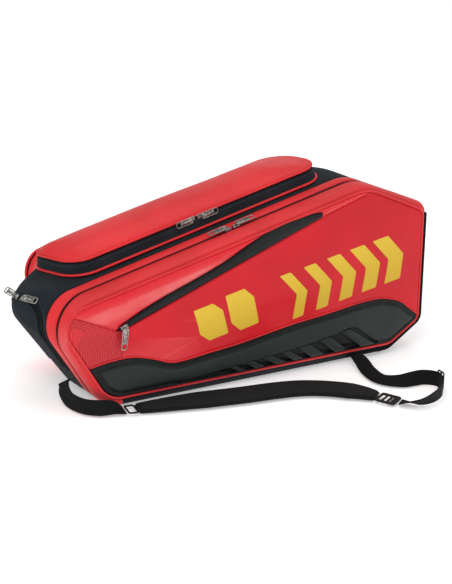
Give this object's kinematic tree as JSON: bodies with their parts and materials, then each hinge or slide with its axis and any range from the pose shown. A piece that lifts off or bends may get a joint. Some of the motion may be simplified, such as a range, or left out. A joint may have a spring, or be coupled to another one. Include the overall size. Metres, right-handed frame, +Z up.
{
  "type": "racket tournament bag",
  "caption": "Wedge-shaped racket bag with two zipped shells that fold open, a raised top pocket, an arched shoe pocket in the narrow end and adjustable shoulder straps.",
  "frame": {"origin": "centre of the flat underside (the face worn against the back), on the middle plane between the two shells", "axes": "+X along the bag towards its wide end, +Y across it towards the back shell, +Z up, away from the underside"},
  "size_m": [0.7501, 0.7186, 0.3357],
  "materials": {
    "coated_red": "glossy coated fabric",
    "red_fabric": "satin coated fabric",
    "black_fabric": "matt woven",
    "lining": "matt",
    "zip_tape": "ribbed tape",
    "moulded_black": "satin moulded",
    "webbing": "ribbed webbing",
    "spacer_mesh": "open mesh over foam",
    "gunmetal": "dark nickel"
  },
  "bodies": {
    "carcass": {"base_tray": "black_fabric", "centre_gusset": "black_fabric", "front_inner_band": "red_fabric", "back_inner_band": "red_fabric", "front_zip_coil": "zip_tape", "back_zip_coil": "zip_tape", "divider_panel": "lining", "shoe_liner": "lining", "shoe_zip_coil": "zip_tape", "top_pocket_wall": "black_fabric", "top_pocket_piping": "red_fabric", "top_zip_coil": "zip_tape", "front_strap_tail_webbing": "webbing", "front_strap_shoulder_pad": "spacer_mesh", "front_strap_lead_webbing": "webbing", "back_strap_tail_webbing": "webbing", "back_strap_shoulder_pad": "spacer_mesh", "back_strap_lead_webbing": "webbing"},
    "front_shell": {"front_band": "red_fabric", "front_end_band": "black_fabric", "front_panel": "coated_red", "front_armour": "moulded_black", "front_piping": "red_fabric", "front_pocket_guard": "zip_tape"},
    "back_shell": {"back_band": "red_fabric", "back_end_band": "black_fabric", "back_panel": "coated_red", "back_armour": "moulded_black", "back_piping": "red_fabric", "back_pocket_guard": "zip_tape"},
    "top_lid": {"top_lid": "coated_red"},
    "shoe_flap": {"shoe_flap": "black_fabric"},
    "front_main_left_slider": {"front_main_left_slider": "gunmetal"},
    "front_main_left_pull": {"front_main_left_pull": "gunmetal"},
    "front_main_right_slider": {"front_main_right_slider": "gunmetal"},
    "front_main_right_pull": {"front_main_right_pull": "gunmetal"},
    "back_main_left_slider": {"back_main_left_slider": "gunmetal"},
    "back_main_left_pull": {"back_main_left_pull": "gunmetal"},
    "back_main_right_slider": {"back_main_right_slider": "gunmetal"},
    "back_main_right_pull": {"back_main_right_pull": "gunmetal"},
    "top_pocket_left_slider": {"top_pocket_left_slider": "gunmetal"},
    "top_pocket_left_pull": {"top_pocket_left_pull": "gunmetal"},
    "top_pocket_right_slider": {"top_pocket_right_slider": "gunmetal"},
    "top_pocket_right_pull": {"top_pocket_right_pull": "gunmetal"},
    "shoe_left_slider": {"shoe_left_slider": "gunmetal"},
    "shoe_left_pull": {"shoe_left_pull": "gunmetal"},
    "shoe_right_slider": {"shoe_right_slider": "gunmetal"},
    "shoe_right_pull": {"shoe_right_pull": "gunmetal"},
    "front_pocket_slider": {"front_pocket_slider": "gunmetal"},
    "front_pocket_pull": {"front_pocket_pull": "gunmetal"},
    "back_pocket_slider": {"back_pocket_slider": "gunmetal"},
    "back_pocket_pull": {"back_pocket_pull": "gunmetal"},
    "front_strap_ring": {"front_strap_ring": "moulded_black"},
    "front_strap_ladder_lock": {"front_strap_ladder_lock": "moulded_black"},
    "front_strap_tri_glide": {"front_strap_tri_glide": "moulded_black"},
    "back_strap_ring": {"back_strap_ring": "moulded_black"},
    "back_strap_ladder_lock": {"back_strap_ladder_lock": "moulded_black"},
    "back_strap_tri_glide": {"back_strap_tri_glide": "moulded_black"}
  },
  "joints": [
    {"name": "front_shell_fold", "type": "hinge", "parent": "carcass", "child": "front_shell", "pos_m": [0.02, -0.1225, 0.019], "axis": [1, 0, 0], "range_deg": [0, 38]},
    {"name": "back_shell_fold", "type": "hinge", "parent": "carcass", "child": "back_shell", "pos_m": [0.02, 0.1225, 0.019], "axis": [-1, 0, 0], "range_deg": [0, 38]},
    {"name": "top_lid_fold", "type": "hinge", "parent": "carcass", "child": "top_lid", "pos_m": [-0.03461, 0.0485, 0.28116], "axis": [-0.975, 0, -0.2223], "range_deg": [0, 100]},
    {"name": "shoe_flap_fold", "type": "hinge", "parent": "carcass", "child": "shoe_flap", "pos_m": [-0.31, 0, 0.0592], "axis": [0, -1, 0], "range_deg": [0, 60]},
    {"name": "front_main_left_zip", "type": "slide", "parent": "carcass", "child": "front_main_left_slider", "axis": [-0.9742, 0, -0.2255], "range_m": [0, 0.28]},
    {"name": "front_main_left_pull_swing", "type": "hinge", "parent": "front_main_left_slider", "child": "front_main_left_pull", "pos_m": [-0.02744, -0.08355, 0.25918], "axis": [-0.0189, 0.9965, 0.0814], "range_deg": [0, 150]},
    {"name": "front_main_right_zip", "type": "slide", "parent": "carcass", "child": "front_main_right_slider", "axis": [0.9742, 0, 0.2255], "range_m": [0, 0.195]},
    {"name": "front_main_right_pull_swing", "type": "hinge", "parent": "front_main_right_slider", "child": "front_main_right_pull", "pos_m": [-0.00752, -0.08357, 0.26379], "axis": [0.0196, -0.9962, -0.0846], "range_deg": [0, 150]},
    {"name": "back_main_left_zip", "type": "slide", "parent": "carcass", "child": "back_main_left_slider", "axis": [-0.9742, 0, -0.2258], "range_m": [0, 0.28]},
    {"name": "back_main_left_pull_swing", "type": "hinge", "parent": "back_main_left_slider", "child": "back_main_left_pull", "pos_m": [-0.02745, 0.08352, 0.25907], "axis": [0.0178, 0.9969, -0.0769], "range_deg": [0, 150]},
    {"name": "back_main_right_zip", "type": "slide", "parent": "carcass", "child": "back_main_right_slider", "axis": [0.9742, 0, 0.2258], "range_m": [0, 0.195]},
    {"name": "back_main_right_pull_swing", "type": "hinge", "parent": "back_main_right_slider", "child": "back_main_right_pull", "pos_m": [-0.00752, 0.08354, 0.26369], "axis": [-0.0186, -0.9966, 0.0802], "range_deg": [0, 150]},
    {"name": "top_pocket_left_zip", "type": "slide", "parent": "carcass", "child": "top_pocket_left_slider", "axis": [-0.975, 0, -0.2223], "range_m": [0, 0.18]},
    {"name": "top_pocket_left_pull_swing", "type": "hinge", "parent": "top_pocket_left_slider", "child": "top_pocket_left_pull", "pos_m": [-0.07466, -0.056, 0.26998], "axis": [-0.2223, 0, 0.975], "range_deg": [0, 150]},
    {"name": "top_pocket_right_zip", "type": "slide", "parent": "carcass", "child": "top_pocket_right_slider", "axis": [0.975, 0, 0.2223], "range_m": [0, 0.21]},
    {"name": "top_pocket_right_pull_swing", "type": "hinge", "parent": "top_pocket_right_slider", "child": "top_pocket_right_pull", "pos_m": [-0.05516, -0.056, 0.27442], "axis": [0.2223, 0, -0.975], "range_deg": [0, 150]},
    {"name": "shoe_left_zip", "type": "slide", "parent": "carcass", "child": "shoe_left_slider", "axis": [0.3914, -0.9202, 0], "range_m": [0, 0.012]},
    {"name": "shoe_left_pull_swing", "type": "hinge", "parent": "shoe_left_slider", "child": "shoe_left_pull", "pos_m": [-0.36456, -0.02672, 0.17523], "axis": [-0.6454, -0.2745, -0.7128], "range_deg": [0, 140]},
    {"name": "shoe_right_zip", "type": "slide", "parent": "carcass", "child": "shoe_right_slider", "axis": [0.0293, 0.9996, 0], "range_m": [0, 0.012]},
    {"name": "shoe_right_pull_swing", "type": "hinge", "parent": "shoe_right_slider", "child": "shoe_right_pull", "pos_m": [-0.36952, -0.00486, 0.17503], "axis": [0.671, -0.0196, 0.7412], "range_deg": [0, 140]},
    {"name": "front_pocket_zip", "type": "slide", "parent": "front_shell", "child": "front_pocket_slider", "axis": [0.9429, 0, 0.333], "range_m": [0, 0.35]},
    {"name": "front_pocket_pull_swing", "type": "hinge", "parent": "front_pocket_slider", "child": "front_pocket_pull", "pos_m": [-0.24394, -0.1338, 0.13753], "axis": [-0.9982, 0, 0.0599], "range_deg": [0, 120]},
    {"name": "back_pocket_zip", "type": "slide", "parent": "back_shell", "child": "back_pocket_slider", "axis": [0.935, 0, 0.3548], "range_m": [0, 0.35]},
    {"name": "back_pocket_pull_swing", "type": "hinge", "parent": "back_pocket_slider", "child": "back_pocket_pull", "pos_m": [-0.18442, 0.1338, 0.14718], "axis": [0.9982, 0, -0.0599], "range_deg": [0, 120]},
    {"name": "front_strap_ring_tilt", "type": "hinge", "parent": "carcass", "child": "front_strap_ring", "pos_m": [-0.24151, -0.14117, 0.0061], "axis": [-0.2524, -0.9676, 0], "range_deg": [0, 40]},
    {"name": "front_strap_ladder_lock_tilt", "type": "hinge", "parent": "carcass", "child": "front_strap_ladder_lock", "pos_m": [0.14832, -0.28441, 0.00633], "axis": [-0.8849, -0.4657, 0], "range_deg": [0, 35]},
    {"name": "front_strap_tri_glide_slide", "type": "slide", "parent": "carcass", "child": "front_strap_tri_glide", "axis": [0.1468, 0.9887, -0.0301], "range_m": [-0.012, 0.012]},
    {"name": "back_strap_ring_tilt", "type": "hinge", "parent": "carcass", "child": "back_strap_ring", "pos_m": [-0.13694, 0.16333, 0.0065], "axis": [0.1263, -0.992, 0], "range_deg": [0, 40]},
    {"name": "back_strap_ladder_lock_tilt", "type": "hinge", "parent": "carcass", "child": "back_strap_ladder_lock", "pos_m": [0.25532, 0.30441, 0.00633], "axis": [0.8849, -0.4657, 0], "range_deg": [0, 35]},
    {"name": "back_strap_tri_glide_slide", "type": "slide", "parent": "carcass", "child": "back_strap_tri_glide", "axis": [-0.2563, -0.9654, -0.0482], "range_m": [-0.012, 0.012]}
  ]
}
